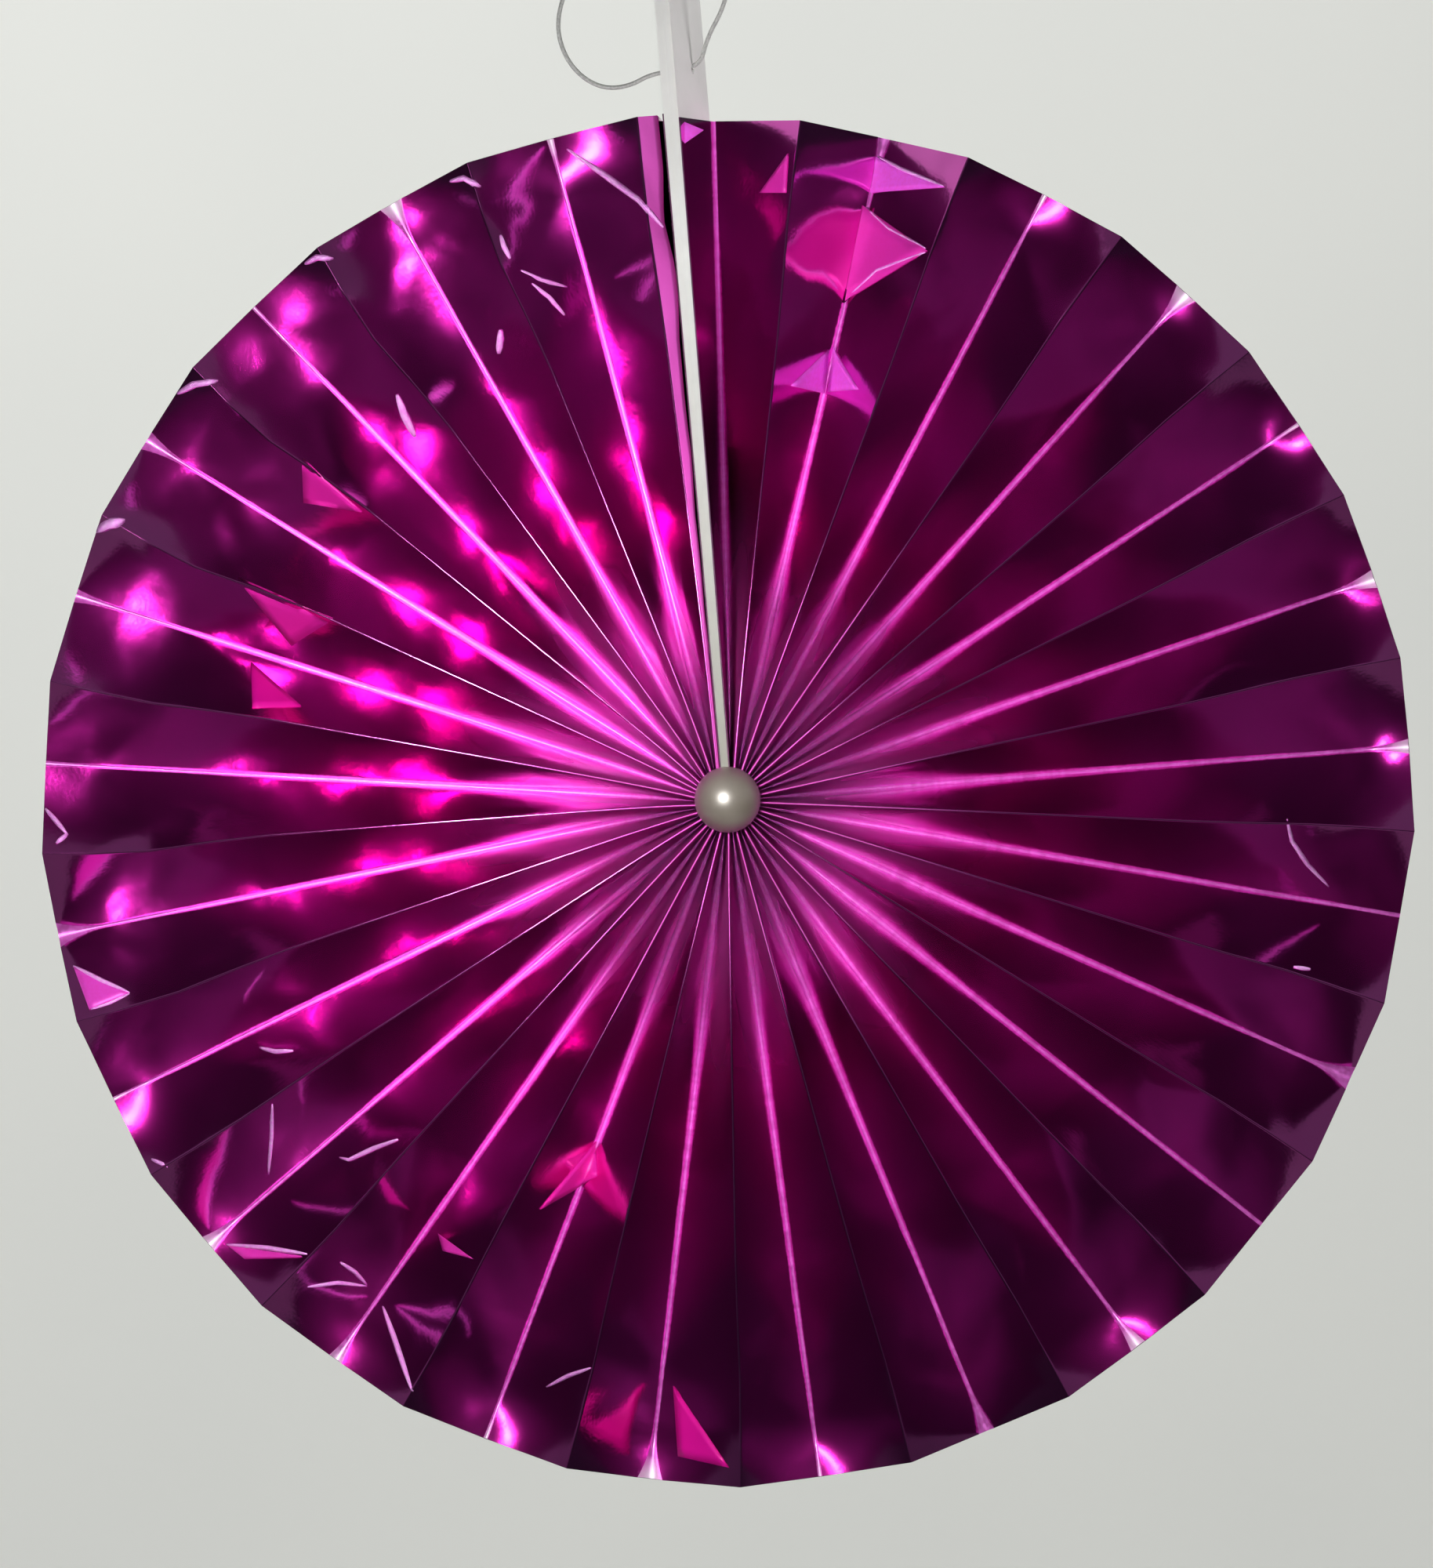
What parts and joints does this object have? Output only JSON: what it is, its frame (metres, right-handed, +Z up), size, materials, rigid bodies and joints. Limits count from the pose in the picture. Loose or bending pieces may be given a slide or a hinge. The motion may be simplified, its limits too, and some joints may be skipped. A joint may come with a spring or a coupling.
{
  "type": "paper fan rosette",
  "caption": "Round hanging rosette of pleated metallised paper with two end strips, a half pearl at the middle and a thread loop.",
  "frame": {"origin": "middle of the hanging thread's hole through both end strips, in the tab above the rim", "axes": "+Z up along the end strips, +X to the right seen from the front, -Y out of the front of the disc"},
  "size_m": [0.25, 0.029, 0.2895],
  "materials": {
    "foil": "metallised mirror film on paper, magenta purple, lightly creased",
    "strip": "pale grey white, slightly translucent plastic strip",
    "pearl": "pearly coating over plastic, soft sheen",
    "thread": "thin grey thread"
  },
  "bodies": {
    "root": {"foil_disc": "foil", "right_strip": "strip", "left_strip": "strip", "pearl_bead": "pearl", "gather_thread": "thread", "hanging_thread": "thread", "thread_knot": "thread"}
  },
  "joints": []
}
